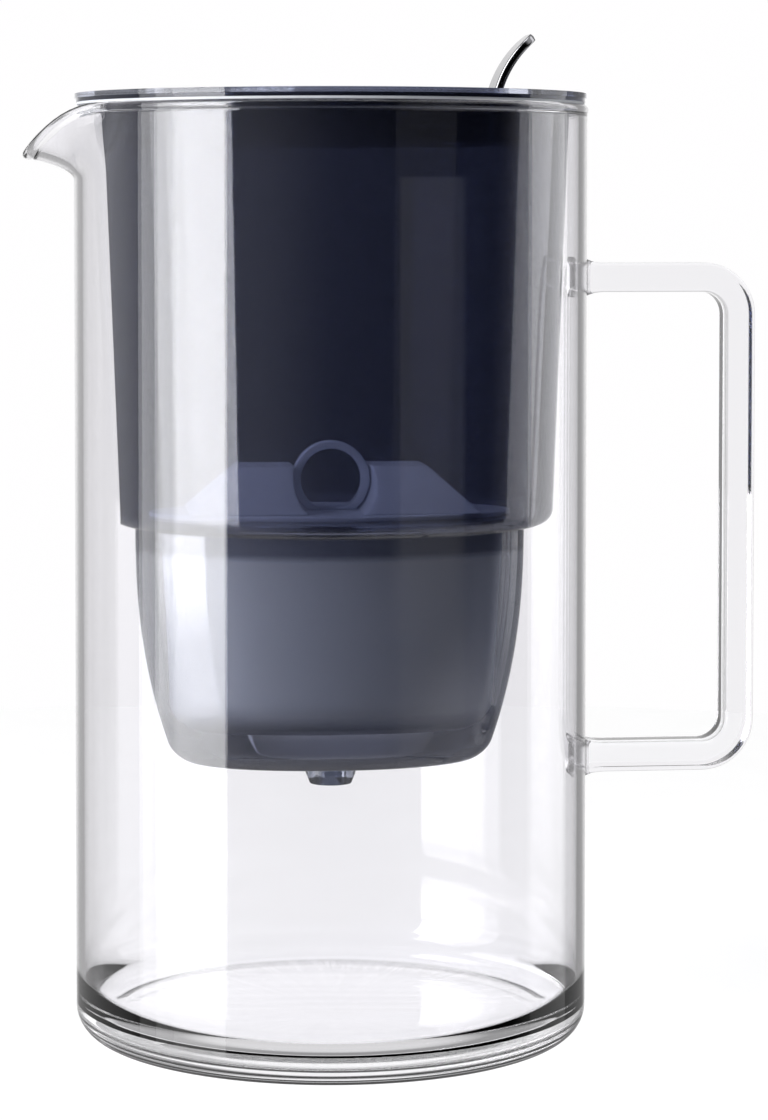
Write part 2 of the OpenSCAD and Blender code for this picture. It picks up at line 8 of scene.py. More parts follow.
# %% Load the frame
import math
import bmesh
import bpy
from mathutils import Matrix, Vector


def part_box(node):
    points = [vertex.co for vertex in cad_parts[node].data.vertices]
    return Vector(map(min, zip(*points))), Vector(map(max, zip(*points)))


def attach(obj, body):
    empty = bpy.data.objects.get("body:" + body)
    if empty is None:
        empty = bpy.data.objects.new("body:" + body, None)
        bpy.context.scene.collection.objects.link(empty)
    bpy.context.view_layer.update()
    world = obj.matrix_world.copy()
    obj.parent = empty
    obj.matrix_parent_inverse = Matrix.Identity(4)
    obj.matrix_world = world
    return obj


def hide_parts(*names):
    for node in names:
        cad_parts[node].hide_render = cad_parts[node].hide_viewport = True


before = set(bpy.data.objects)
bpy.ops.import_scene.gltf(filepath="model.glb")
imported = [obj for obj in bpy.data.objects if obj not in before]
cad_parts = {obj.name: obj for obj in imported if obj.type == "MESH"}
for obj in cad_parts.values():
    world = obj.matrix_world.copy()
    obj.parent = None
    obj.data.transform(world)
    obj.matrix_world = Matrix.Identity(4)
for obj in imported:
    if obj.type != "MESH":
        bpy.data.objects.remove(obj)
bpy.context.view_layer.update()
MM = 0.001

# %% [markdown]
# What a box can't tell, such as the thickness of the wall, stands here in millimetres.

# %% Main sizes
RIM_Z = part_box("glass_jug")[1].z
bar_low, bar_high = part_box("glass_handle")
cup_low, cup_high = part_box("filter_cup")
lid_low, lid_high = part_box("lid_frame")
GLASS_T = 2.2 * MM
JUG_R = 68 * MM
BEAD_R = 1.4 * MM
HEEL_R = 8 * MM
FLOOR_T = 6.5 * MM
INNER_HEEL_R = 11 * MM
print("rim at", round(RIM_Z, 4), "m, foot of the cup at", round(cup_low.z, 4), "m")

# %% [markdown]
# A shader is easier to read as maths. The class Value wraps a socket, so that an expression
# such as 1 - mask adds its own Math node. The method node adds any other node in one line.

# %% Shader maths
class Value:
    """A number that flows between nodes, with the usual operators."""

    def __init__(self, tree, socket):
        self.tree, self.socket = tree, socket

    def _math(self, operation, a, b):
        return self.tree.node("ShaderNodeMath", {"operation": operation}, {0: a, 1: b})

    def __add__(self, other): return self._math("ADD", self, other)
    def __radd__(self, other): return self._math("ADD", other, self)
    def __sub__(self, other): return self._math("SUBTRACT", self, other)
    def __rsub__(self, other): return self._math("SUBTRACT", other, self)
    def __mul__(self, other): return self._math("MULTIPLY", self, other)
    def __rmul__(self, other): return self._math("MULTIPLY", other, self)
    def __abs__(self): return self._math("ABSOLUTE", self, 0.0)
    def over(self, other): return self._math("GREATER_THAN", self, other)
    def most(self, other): return self._math("MAXIMUM", self, other)


class Tree:
    """The node tree of a material, a lamp or the world."""

    def __init__(self, tree):
        self.tree = tree
        tree.nodes.clear()

    def node(self, kind, settings=None, inputs=None, out=0):
        made = self.tree.nodes.new(kind)
        for name, value in (settings or {}).items():
            if name == "stops":
                ramp = made.color_ramp
                while len(ramp.elements) < len(value):
                    ramp.elements.new(0.5)
                for stop, (place, colour) in zip(ramp.elements, value):
                    stop.position, stop.color = place, (*colour, 1)
            else:
                setattr(made, name, value)
        for name, value in (inputs or {}).items():
            if isinstance(value, Value):
                self.tree.links.new(value.socket, made.inputs[name])
            else:
                made.inputs[name].default_value = value
        return Value(self, made.outputs[out])

    def ray(self, fact):
        """What Light Path knows of a ray, such as Is Camera Ray or Glossy Depth."""
        return self.node("ShaderNodeLightPath", out=fact)

    def bounced(self, depth):
        """1 for a ray that has bounced in such a way at least once, or else 0."""
        return self.ray(depth).over(0.5)

    def height(self, vector):
        return self.node("ShaderNodeSeparateXYZ", None, {"Vector": vector}, out=2)

    def end(self, kind, shader):
        """The output node, which takes the finished shader."""
        output = self.tree.nodes.new(kind)
        self.tree.links.new(shader.socket, output.inputs["Surface"])


def material(name, build):
    """A new material, whose tree the build function fills and whose shader it returns."""
    made = bpy.data.materials.new(name)
    made.use_nodes = True
    tree = Tree(made.node_tree)
    tree.end("ShaderNodeOutputMaterial", build(tree))
    return made


# %% [markdown]
# Every surface has a little unevenness. Noise on Object coordinates gives it, at a scale in
# metres, so the pattern is fixed to the piece and turns with it.

# %% Noise and bump
def place(tree):
    return tree.node("ShaderNodeTexCoord", out="Object")


def noise(tree, scale, detail=2, roughness=0.5, stretch=None):
    where = place(tree)
    if stretch:
        where = tree.node("ShaderNodeMapping", None, {"Vector": where, "Scale": stretch})
    return tree.node("ShaderNodeTexNoise", None,
        {"Vector": where, "Scale": scale, "Detail": detail, "Roughness": roughness})


NOISE_LOW, NOISE_HIGH = 0.3, 0.7


def between(tree, value, low, high):
    return tree.node("ShaderNodeMapRange", None, {"Value": value,
        "From Min": NOISE_LOW, "From Max": NOISE_HIGH, "To Min": low, "To Max": high})


def tint(tree, value, low, high):
    return tree.node("ShaderNodeValToRGB",
        {"stops": [(NOISE_LOW, low), (NOISE_HIGH, high)]}, {"Fac": value})


def bump(tree, height, depth):
    return tree.node("ShaderNodeBump", None, {"Height": height, "Distance": depth})


# %% [markdown]
# Glass and clear plastic bend light. A lamp would find no straight way through them to the
# pieces inside, so for shadow rays alone the shader turns into a plain see-through filter.
# Blown glass has long shallow waves. Moulded plastic is a little duller. The cup and the lid
# change their colour with the height: the cup is darker toward its foot and carries a painted
# shadow at its top, and the lid's skirt, twice as thick, is darker than its top, which carries
# a painted highlight.

# %% See-through finishes
GLASS_IOR, PLASTIC_IOR = 1.47, 1.5
FAINT_WAVE, PLASTIC_WAVE = 0.01 * MM, 0.02 * MM


def see_through(tree, colour, ior, rough, filter_colour, waves, depth, clear=1.0):
    """Clear is the share of the light that goes through instead of scattering."""
    body = tree.node("ShaderNodeBsdfPrincipled", None, {
        "Base Color": colour, "IOR": ior, "Roughness": rough, "Transmission Weight": clear,
        "Normal": bump(tree, waves, depth)})
    shade = tree.node("ShaderNodeBsdfTransparent", None, {"Color": (*filter_colour, 1)})
    return tree.node("ShaderNodeMixShader", None,
        {0: tree.ray("Is Shadow Ray"), 1: body, 2: shade})


def by_height(tree, low, high, stops):
    """Colours at shares of the way up between two heights."""
    level = tree.node("ShaderNodeMapRange", None,
        {"Value": tree.height(place(tree)), "From Min": low, "From Max": high})
    return tree.node("ShaderNodeValToRGB", {"stops": stops}, {"Fac": level})


def clear_glass(tree):
    return see_through(tree, (0.982, 0.978, 0.996, 1), GLASS_IOR, 0.0, (0.96, 0.96, 0.97),
        noise(tree, 14, 1, 0.4, (1, 1, 0.35)), FAINT_WAVE)


def smoked_plastic(tree):
    return see_through(tree, (0.12, 0.134, 0.2, 1), PLASTIC_IOR, 0.01, (0.94, 0.94, 0.96),
        noise(tree, 30, 1), PLASTIC_WAVE, 0.95)


def cup_plastic(tree):
    """Clear in the middle and darker toward the foot; the band at the top is a painted shadow
    of the parts above it.
    """
    colour = by_height(tree, cup_low.z, cup_high.z, [(0.0, (0.4, 0.42, 0.5)),
        (0.17, (0.42, 0.44, 0.52)), (0.24, (0.88, 0.9, 0.95)), (0.87, (0.88, 0.9, 0.95)),
        (0.9, (0.36, 0.38, 0.46))])
    return see_through(tree, colour, PLASTIC_IOR, 0.03, (0.92, 0.93, 0.96),
        noise(tree, 30, 1), PLASTIC_WAVE, 0.97)


def lid_plastic(tree):
    """Darker in the skirt, which is twice as thick; the top is painted paler, a painted
    highlight of the light from above.
    """
    colour = by_height(tree, lid_low.z, lid_high.z, [(0.0, (0.13, 0.14, 0.2)),
        (0.86, (0.13, 0.14, 0.2)), (0.9, (0.46, 0.48, 0.56))])
    return see_through(tree, colour, PLASTIC_IOR, 0.03, (0.85, 0.86, 0.9),
        noise(tree, 40, 1), PLASTIC_WAVE, 0.95)


def nozzle_plastic(tree):
    return see_through(tree, (0.42, 0.45, 0.54, 1), PLASTIC_IOR, 0.04, (0.8, 0.82, 0.85),
        noise(tree, 60, 1), FAINT_WAVE)


finishes = {}


def add_finishes(**builders):
    """Each material takes the name of the function that builds it."""
    for name, build in builders.items():
        finishes[name] = material(build.__name__, build)
    print("finishes:", ", ".join(builders))


add_finishes(glass=clear_glass, smoked=smoked_plastic, cup=cup_plastic, lid=lid_plastic,
    nozzle=nozzle_plastic)

# %% [markdown]
# The other finishes let no light through. Moulded plastic and silicone have a satin skin with
# a fine grain, which moves the colour and the roughness a little. The screens are woven, so a
# small checker raises and darkens every other thread. Cells of a Voronoi texture stand for
# the grains of the filling. Metal is brushed or polished, so its noise is drawn out in lines.

# %% Solid finishes
def satin(tree, low, high, rough, scale, grain):
    speck = noise(tree, scale, 4, 0.6)
    return tree.node("ShaderNodeBsdfPrincipled", None, {
        "Base Color": tint(tree, speck, low, high),
        "Roughness": between(tree, speck, rough - 0.05, rough + 0.05),
        "Normal": bump(tree, speck, grain * MM)})


def cartridge_plastic(tree):
    return satin(tree, (0.8, 0.82, 0.87), (0.82, 0.84, 0.89), 0.36, 500, 0.004)


def body_plastic(tree):
    return satin(tree, (0.088, 0.098, 0.135), (0.093, 0.103, 0.14), 0.4, 500, 0.004)


def dark_silicone(tree):
    return satin(tree, (0.008, 0.008, 0.01), (0.014, 0.014, 0.017), 0.5, 700, 0.02)


def pale_silicone(tree):
    return satin(tree, (0.55, 0.57, 0.6), (0.62, 0.64, 0.67), 0.4, 500, 0.02)


def filter_mesh(tree):
    weave = tree.node("ShaderNodeTexChecker", None,
        {"Vector": place(tree), "Scale": 2600.0}, out=1)
    return tree.node("ShaderNodeBsdfPrincipled", None, {
        "Base Color": tint(tree, weave, (0.35, 0.35, 0.34), (0.75, 0.75, 0.73)),
        "Roughness": 0.8, "Normal": bump(tree, weave, 0.1 * MM)})


def grains(tree, low, high):
    hollow, shade = (tree.node("ShaderNodeTexVoronoi", None,
        {"Vector": place(tree), "Scale": 900.0}, out=i) for i in (0, 1))
    return tree.node("ShaderNodeBsdfPrincipled", None, {
        "Base Color": tint(tree, shade, low, high), "Roughness": 0.6,
        "Normal": bump(tree, 1 - hollow, 0.6 * MM)})


def carbon_grains(tree):
    return grains(tree, (0.006, 0.006, 0.007), (0.03, 0.03, 0.033))


def resin_grains(tree):
    return grains(tree, (0.3, 0.16, 0.05), (0.55, 0.36, 0.14))


def chrome(tree):
    smear = noise(tree, 60, 3, 0.6, (1, 0.2, 1))
    return tree.node("ShaderNodeBsdfPrincipled", None, {
        "Base Color": (0.3, 0.3, 0.315, 1), "Metallic": 1.0,
        "Roughness": between(tree, smear, 0.08, 0.16),
        "Normal": bump(tree, smear, 0.03 * MM)})


def steel(tree):
    lines = noise(tree, 400, 3, 0.6, (1, 0.05, 1))
    return tree.node("ShaderNodeBsdfPrincipled", None, {
        "Base Color": tint(tree, lines, (0.5, 0.5, 0.51), (0.62, 0.62, 0.63)),
        "Metallic": 1.0, "Roughness": between(tree, lines, 0.2, 0.34),
        "Normal": bump(tree, lines, 0.02 * MM)})


add_finishes(cartridge=cartridge_plastic, body=body_plastic, seal=dark_silicone,
    gasket=pale_silicone, mesh=filter_mesh, carbon=carbon_grains, resin=resin_grains,
    chrome=chrome, steel=steel)

# %% [markdown]
# A few helpers make most pieces. `skin` runs closed rings of points together with
# bridge_loops, the way a designer lofts sections. `join` adds a part to a piece. `done` turns
# the mesh into an object, smooths it, hangs it on the empty of the body it rides on, and hides
# the CAD nodes it stands for.

# %% Making pieces
def skin(bm, rings, round_again=False, caps=False):
    """Bridges each ring to the next, and the last to the first or to flat caps."""
    loops = []
    for points in rings:
        verts = [bm.verts.new(p) for p in points]
        loops.append([bm.edges.new(pair) for pair in zip(verts, verts[1:] + verts[:1])])
    pairs = list(zip(loops, loops[1:]))
    if round_again:
        pairs.append((loops[-1], loops[0]))
    for a, b in pairs:
        bmesh.ops.bridge_loops(bm, edges=a + b)
    if caps:
        for loop in (loops[0], loops[-1]):
            bmesh.ops.contextual_create(bm, geom=loop)
    bmesh.ops.recalc_face_normals(bm, faces=bm.faces)


def join(bm, part):
    mesh = bpy.data.meshes.new("part")
    part.to_mesh(mesh)
    part.free()
    bm.from_mesh(mesh)
    bpy.data.meshes.remove(mesh)


def put(name, data):
    """An object for a mesh, a lamp or a camera, in the scene."""
    made = bpy.data.objects.new(name, data)
    bpy.context.collection.objects.link(made)
    return made


def done(bm, name, body, finish, stands_for, sharp=40):
    mesh = bpy.data.meshes.new(name)
    bm.to_mesh(mesh)
    bm.free()
    for face in mesh.polygons:
        face.use_smooth = True
    mesh.set_sharp_from_angle(angle=math.radians(sharp))
    mesh.materials.append(finishes[finish])
    piece = put(name, mesh)
    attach(piece, body)
    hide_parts(*stands_for)
    print(name, "faces:", len(mesh.polygons))


def arc(x, z, r, start, end, steps=8):
    """Points of an arc in the side view, by angle from the level."""
    turns = [math.radians(start + (end - start) * i / steps) for i in range(steps + 1)]
    return [(x + r * math.cos(a), z + r * math.sin(a)) for a in turns]


# %% [markdown]
# The jug is blown from one piece of glass, so its inner and outer faces belong to one mesh.
# Its half outline could be drawn with few points, but glass shows every dent of its shading.
# So the roundings have many steps, a point just beside each rounding holds the flat wall
# straight, and the wall has rows of points where the lip will be drawn out.

# %% Jug outline
MID_R = JUG_R - GLASS_T / 2
IN_R = JUG_R - GLASS_T
LIP_SILL = RIM_Z - 20 * MM
LIP_ROWS = 22
HEEL_STEPS = 24
BESIDE = 0.4 * MM
BEAD_Z = RIM_Z - BEAD_R
wall_steps = [BEAD_Z + (LIP_SILL - BEAD_Z) * i / LIP_ROWS for i in range(1, LIP_ROWS + 1)]
outline = [(0, 0), (JUG_R - HEEL_R - 14 * MM, 0), (JUG_R - HEEL_R - BESIDE, 0)]
outline += arc(JUG_R - HEEL_R, HEEL_R, HEEL_R, -90, 0, HEEL_STEPS)
outline += [(JUG_R, HEEL_R + BESIDE)]
outline += [(JUG_R, z) for z in reversed(wall_steps)]
outline += arc(MID_R, BEAD_Z, BEAD_R, -30, 210, 14)
outline += [(IN_R, z) for z in wall_steps]
outline += [(IN_R, FLOOR_T + INNER_HEEL_R + BESIDE)]
outline += arc(IN_R - INNER_HEEL_R, FLOOR_T + INNER_HEEL_R, INNER_HEEL_R, 0, -90, HEEL_STEPS)
outline += [(IN_R - INNER_HEEL_R - gap, FLOOR_T) for gap in (BESIDE, 12 * MM)]
outline += [(0, FLOOR_T)]
print("outline points:", len(outline))

# %% [markdown]
# The outline is spun once round the axis. Two points lie on the axis itself, and their copies
# are merged there, so that the glass is closed.

# %% Jug blank
RING_STEPS = 192
jug = bmesh.new()
verts = [jug.verts.new((x, 0, z)) for x, z in outline]
edges = [jug.edges.new(pair) for pair in zip(verts, verts[1:])]
bmesh.ops.spin(jug, geom=verts + edges, cent=(0, 0, 0), axis=(0, 0, 1),
    angle=math.tau, steps=RING_STEPS, use_merge=True)
bmesh.ops.remove_doubles(jug, verts=jug.verts, dist=1e-6)
bmesh.ops.recalc_face_normals(jug, faces=jug.faces)
print("jug faces:", len(jug.faces))

# %% [markdown]
# The lip is drawn out of the smooth wall, as the glassblower pulls it. A separate spout could
# be joined on, but its seam would show. Each point is carried along the wall's bent middle
# line instead, and keeps its distance from that line, so the glass stays equally thick. The
# pull is strongest in the middle of the lip and dies away to both sides.

# %% Draw out the lip
LIP_REACH = 13.2 * MM
LIP_DIP = 11.6 * MM
LIP_HALF = math.radians(26)
SIDE_POWER = 1.4
REACH_POWER = 2.4
DIP_POWER = 2.1
for v in jug.verts:
    a = math.atan2(v.co.y, -v.co.x)
    t = (v.co.z - LIP_SILL) / (BEAD_Z - LIP_SILL)
    if abs(a) >= LIP_HALF or t <= 0:
        continue
    pull = math.cos(math.pi / 2 * a / LIP_HALF) ** SIDE_POWER
    along = min(t, 1)
    off = v.co.xy.length - MID_R
    over = v.co.z - BEAD_Z if t > 1 else 0
    tall = BEAD_Z - LIP_SILL - LIP_DIP * pull ** DIP_POWER
    middle = Vector((MID_R + LIP_REACH * pull * along ** REACH_POWER, LIP_SILL + tall * along))
    rise = Vector((LIP_REACH * pull * REACH_POWER * along ** (REACH_POWER - 1), tall))
    rise.normalize()
    out = Vector((rise.y, -rise.x))
    r, z = middle + out * off + rise * over
    v.co = Vector((-r * math.cos(a), r * math.sin(a), z))
print("lip reaches", round(-min(v.co.x for v in jug.verts), 4), "m from the axis")

# %% [markdown]
# The handle is one glass bar with softly rounded edges, bent in a flame and fused on. Each
# ring is a section of the bar, and the two ends flare a little where the hot glass met the
# wall. The ends run a hair into the wall, so that the joint is closed all round.

# %% Handle of the jug
BAR_T = 7.8 * MM
BAR_W = 11 * MM
BAR_ROUND = 1.4 * MM
BEND_R = 10 * MM
BEND_STEPS = 12
WELD_LEN = 7 * MM
WELD_FLARE = 1.5 * MM
WELD_STEPS = 10
WELD_IN = 0.6 * MM
ARM_INSET = BAR_T / 2 + 1.6 * MM
HOLD = 0.05 * MM
arm_top, arm_low = bar_high.z - ARM_INSET, bar_low.z + ARM_INSET
bend_x = bar_high.x - BAR_T / 2 - BEND_R


def section(middle, out, t, w, r):
    """Rounded block section about a middle point: t along `out`, w across it, both halved.
    A point just past each corner holds the flats flat when the surface is shaded smooth."""
    points = []
    for sx, sy, start in ((1, 1, 0), (-1, 1, 90), (-1, -1, 180), (1, -1, 270)):
        bend = [Vector(p) for p in arc(0, 0, r, start, start + 90)]
        first, last = bend[0], bend[-1]
        before = first + Vector((first.y, -first.x)) / r * HOLD
        after = last + Vector((-last.y, last.x)) / r * HOLD
        for c in [before] + bend + [after]:
            points.append(middle + out * (sx * (t - r) + c.x)
                + Vector((0, sy * (w - r) + c.y, 0)))
    return points


def bar_ring(middle, out, grow=0.0):
    return section(middle, out, BAR_T / 2 + grow, BAR_W / 2 + grow, BAR_ROUND + grow)


def arm_rings(z, up):
    """Rings from the wall out to the bend, flared at the wall."""
    rings = []
    for i in range(WELD_STEPS + 1):
        s = i / WELD_STEPS
        rings.append(bar_ring(Vector((JUG_R - WELD_IN + s * WELD_LEN, 0, z)), up,
            WELD_FLARE * (1 - s) ** 3))
    return rings


up = Vector((0, 0, 1))
rings = arm_rings(arm_top, up)
for bend_z, start in ((arm_top - BEND_R, 90), (arm_low + BEND_R, 0)):
    for i in range(BEND_STEPS + 1):
        a = math.radians(start - 90 * i / BEND_STEPS)
        out = Vector((math.cos(a), 0, math.sin(a)))
        rings.append(bar_ring(Vector((bend_x, 0, bend_z)) + out * BEND_R, out))
rings += reversed(arm_rings(arm_low, -up))
handle = bmesh.new()
skin(handle, rings, caps=True)
join(jug, handle)
done(jug, "jug_glass", "jug", "glass", ("glass_jug", "glass_handle"), 50)

# %% [markdown]
# The cup under the funnel is a thin moulded shell. Its walls lean in more and more toward a
# flat foot. One chain of rings runs down the outside, across the foot to the nozzle's hole,
# and back up the inside.

# %% Filter cup
CUP_DEPTH = cup_high.z - cup_low.z
CUP_HALF_LEN = (cup_high.x - cup_low.x) / 2
CUP_HALF_WID = (cup_high.y - cup_low.y) / 2
CUP_LEAN_LEN = 10.6 * MM
CUP_LEAN_WID = 6.4 * MM
CUP_LEAN_POWER = 2.4
CUP_CORNER = 5.6 * MM
CUP_WALL = 1.6 * MM
CUP_ROWS = 24
SPIGOT_R = 4.45 * MM


def oval(rx, ry, z, steps=144):
    turns = [math.tau * i / steps for i in range(steps)]
    return [Vector((rx * math.cos(a), ry * math.sin(a), z)) for a in turns]


def rounded(r, past):
    """How far a rounding of radius r draws in, at a distance past its start."""
    return r - math.sqrt(max(r * r - past * past, 0))


def cup_rings(inset):
    """Rings from the mouth of the cup to its foot."""
    depth, corner = CUP_DEPTH - inset, CUP_CORNER - inset
    downs = [(depth - corner) * j / CUP_ROWS for j in range(CUP_ROWS + 1)]
    downs += [depth - corner + corner * math.sin(math.radians(a)) for a in range(9, 91, 9)]
    rings = []
    for down in downs:
        lean = (down / depth) ** CUP_LEAN_POWER
        inward = inset + rounded(corner, max(0.0, down - depth + corner))
        rings.append(oval(CUP_HALF_LEN - CUP_LEAN_LEN * lean - inward,
            CUP_HALF_WID - CUP_LEAN_WID * lean - inward, cup_high.z - down))
    return rings


cup = bmesh.new()
skin(cup, cup_rings(0) + [oval(SPIGOT_R, SPIGOT_R, cup_low.z),
    oval(SPIGOT_R, SPIGOT_R, cup_low.z + CUP_WALL)] + list(reversed(cup_rings(CUP_WALL))),
    round_again=True)
done(cup, "cup_shell", "funnel_unit", "cup", ("filter_cup",))

# %% [markdown]
# The cartridge cap is moulded in satin plastic with softly rounded edges, which catch the
# light. It has two hollow shoulders with sloping ends and sides, and a round bay between them
# where the pull ring stands. Slots in the flat tops let the water in. Cutting them with a
# boolean would be slow and rough. Two families of planes cut the top into strips instead, and
# the strips of the slots are pressed in.

# %% Cartridge cap
cap_low, cap_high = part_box("cartridge_cap")
ring_low, ring_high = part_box("pull_ring")
RING_R = 10.3 * MM
RING_MID = ring_high.z - RING_R
FLANGE_TOP = ring_low.z
FLANGE_LOW = FLANGE_TOP - 1.3 * MM
FLANGE_HALF = (48.4 * MM, 23.5 * MM)
PLUG_HALF = (38 * MM, 18.5 * MM)
PLUG_TAPER = 0.1 * MM
SHOULDER_END = 38.5 * MM
SHOULDER_TOP_END = 25 * MM
SHOULDER_HALF_WID = 17.5 * MM
SHOULDER_LEAN = 8.75 * MM
SINK = 0.1 * MM
BAY_R = RING_R + 0.5 * MM
SLOT_W = 1.4 * MM
SLOT_HALF_LEN = 4.4 * MM
SLOT_DEPTH = 1.2 * MM
SLOT_MID = 12.5 * MM + RING_R / 2
SLOT_PITCH = 3.6 * MM


def soften(bm, width, segments=3, angle=35):
    """Rounds every edge at which two faces meet at more than the angle."""
    edges = [e for e in bm.edges if len(e.link_faces) == 2
        and e.calc_face_angle(0) > math.radians(angle)]
    bmesh.ops.bevel(bm, geom=edges, offset=width, segments=segments, profile=0.5,
        affect="EDGES", material=-1)


def cut(bm, x, y, normal):
    bmesh.ops.bisect_plane(bm, geom=bm.verts[:] + bm.edges[:] + bm.faces[:],
        plane_co=(x, y, 0), plane_no=normal)


def shoulder(side):
    """One shoulder of the cap, from its outline seen from the front."""
    low = math.degrees(math.asin((RING_MID - FLANGE_TOP) / BAY_R))
    high = math.degrees(math.asin((cap_high.z - RING_MID) / BAY_R))
    outline = [(SHOULDER_END, FLANGE_TOP - SINK), (SHOULDER_TOP_END, cap_high.z)]
    outline += reversed(arc(0, RING_MID, BAY_R, -low, high, 14))
    rings = []
    for face in (-1, 1):
        rings.append([Vector((side * x, face * (SHOULDER_HALF_WID
            - SHOULDER_LEAN * (z - FLANGE_TOP) / (cap_high.z - FLANGE_TOP)), z))
            for x, z in outline])
    bm = bmesh.new()
    skin(bm, rings, caps=True)
    slot_mids = [side * SLOT_MID + i * SLOT_PITCH for i in (-1, 0, 1)]
    for middle in slot_mids:
        for edge in (-1, 1):
            cut(bm, middle + edge * SLOT_W / 2, 0, (1, 0, 0))
    for y in (-SLOT_HALF_LEN, SLOT_HALF_LEN):
        cut(bm, 0, y, (0, 1, 0))
    slots = []
    for face in bm.faces:
        centre = face.calc_center_median()
        if face.normal.z > 0.99 and abs(centre.y) < SLOT_HALF_LEN and any(
                abs(centre.x - middle) < SLOT_W / 4 for middle in slot_mids):
            slots.append(face)
    pushed = bmesh.ops.extrude_face_region(bm, geom=slots)["geom"]
    bmesh.ops.translate(bm, vec=(0, 0, -SLOT_DEPTH),
        verts=[v for v in pushed if isinstance(v, bmesh.types.BMVert)])
    bmesh.ops.delete(bm, geom=slots, context="FACES_ONLY")
    soften(bm, 0.6 * MM, 3, 40)
    return bm


flange = bmesh.new()
skin(flange, [oval(*FLANGE_HALF, FLANGE_LOW), oval(*FLANGE_HALF, FLANGE_TOP)], caps=True)
soften(flange, 0.35 * MM)
plug = bmesh.new()
skin(plug, [oval(*(half - PLUG_TAPER for half in PLUG_HALF), cap_low.z),
    oval(*PLUG_HALF, FLANGE_LOW + 0.2 * MM)], caps=True)
cap = bmesh.new()
for part in (flange, plug, shoulder(-1), shoulder(1)):
    join(cap, part)
done(cap, "cap_shell", "cartridge", "cartridge", ("cartridge_cap",), 50)

# %% [markdown]
# The cartridge body is a plain tapered can of darker plastic with a rounded foot. Two beds of
# grains fill it, carbon above and resin below, with thin screens between them. One helper
# gives the outline of the can at any height, and the beds use it with a smaller size.

# %% Cartridge body and filling
body_low, body_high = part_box("cartridge_body")
BODY_WALL = 1.4 * MM
BODY_CORNER = 7 * MM
BODY_HALF_LEN, BODY_HALF_WID = 37 * MM, 18.8 * MM
DRAFT_LEN, DRAFT_WID = 0.05, 0.035
FILL_GAP = 0.15 * MM


def can_ring(z, inset=0.0):
    """The outline of the can at a height, drawn in by its taper and its rounded foot."""
    down = body_high.z - z
    inward = inset + rounded(BODY_CORNER, max(0.0, BODY_CORNER - (z - body_low.z)))
    return oval(BODY_HALF_LEN - DRAFT_LEN * down - inward,
        BODY_HALF_WID - DRAFT_WID * down - inward, z, 96)


# The inside starts above the thick foot, so it leaves out the lowest rows of the outside.
foot = [body_low.z + BODY_CORNER * (1 - math.cos(math.radians(a))) for a in range(0, 91, 9)]
can = bmesh.new()
skin(can, [can_ring(z) for z in foot + [body_high.z]]
    + [can_ring(z, BODY_WALL) for z in reversed([body_low.z + BODY_WALL] + foot[4:])],
    caps=True)
done(can, "cartridge_can", "cartridge", "body", ("cartridge_body",))
for node, slot, finish in (("intake_screen", "filter_mesh", "mesh"),
        ("carbon_bed", "carbon_grains", "carbon"), ("bed_divider", "filter_mesh", "mesh"),
        ("resin_bed", "resin_grains", "resin"), ("outlet_screen", "filter_mesh", "mesh")):
    bed = bmesh.new()
    skin(bed, [can_ring(end.z, BODY_WALL + FILL_GAP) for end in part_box(node)], caps=True)
    done(bed, node + "_fill", "cartridge", finish, (node,))

# %% [markdown]
# The pull ring is a flat band of the same plastic. A face between two outlines is drawn out
# to the band's width, and all its edges are rounded, as a finger needs.

# %% Pull ring
HOLE_R = 8.1 * MM
HOLE_SILL = FLANGE_TOP + 1.1 * MM
KEYHOLE_STEPS = 96


def keyhole(r, floor_z, y):
    """A circle that is cut off level at the bottom."""
    turns = [math.tau * i / KEYHOLE_STEPS + math.pi / 2 for i in range(KEYHOLE_STEPS)]
    return [Vector((r * math.cos(a), y, max(RING_MID + r * math.sin(a), floor_z)))
        for a in turns]


loop = bmesh.new()
half = (ring_high.y - ring_low.y) / 2
skin(loop, [keyhole(RING_R, FLANGE_TOP, -half), keyhole(RING_R, FLANGE_TOP, half),
    keyhole(HOLE_R, HOLE_SILL, half), keyhole(HOLE_R, HOLE_SILL, -half)], round_again=True)
soften(loop, 0.5 * MM, 4, 60)
done(loop, "pull_loop", "cartridge", "cartridge", ("pull_ring",), 50)

# %% [markdown]
# The thumb lever is a strip of dark polished metal, bent to a curve and rounded at the tip.
# It is swept through its bend, and its section shrinks at the tip.

# %% Thumb lever
lever_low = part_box("thumb_lever")[0]
LEVER_T = 2.2 * MM
LEVER_HALF_WID = 7 * MM
LEVER_ROUND = 0.7 * MM
BEND_MID = Vector((71.46 * MM, 0, lid_high.z - 7 * MM))
BLADE_R = 28.5 * MM
BLADE_START, BLADE_END = math.radians(13.7), math.radians(52.2)
BLADE_STEPS = 40
TIP_R = 4.5 * MM
TIP_MOST = 5.4 * MM
TIP_EDGE_R = 0.75 * MM


def blade_out(a):
    return Vector((-math.cos(a), 0, math.sin(a)))


root = BEND_MID + blade_out(BLADE_START) * BLADE_R
rings = [section(Vector((lever_low.x + LEVER_T / 2, 0, z)), Vector((-1, 0, 0)), LEVER_T / 2,
    LEVER_HALF_WID, LEVER_ROUND) for z in (lever_low.z, (lever_low.z + root.z) / 2)]
for i in range(BLADE_STEPS + 1):
    a = BLADE_START + (BLADE_END - BLADE_START) * i / BLADE_STEPS
    left = (BLADE_END - a) * BLADE_R
    narrow = rounded(TIP_R, max(TIP_R - left, 0))
    half_t = LEVER_T / 2 - rounded(TIP_EDGE_R, max(TIP_EDGE_R - left, 0))
    rings.append(section(BEND_MID + blade_out(a) * BLADE_R, blade_out(a), half_t,
        LEVER_HALF_WID - min(narrow, TIP_MOST), min(LEVER_ROUND, half_t)))
lever = bmesh.new()
skin(lever, rings, caps=True)
done(lever, "lever_blade", "flap", "chrome", ("thumb_lever",), 50)

# %% [markdown]
# The other pieces have the right shape in the CAD already, so they only take their finishes.

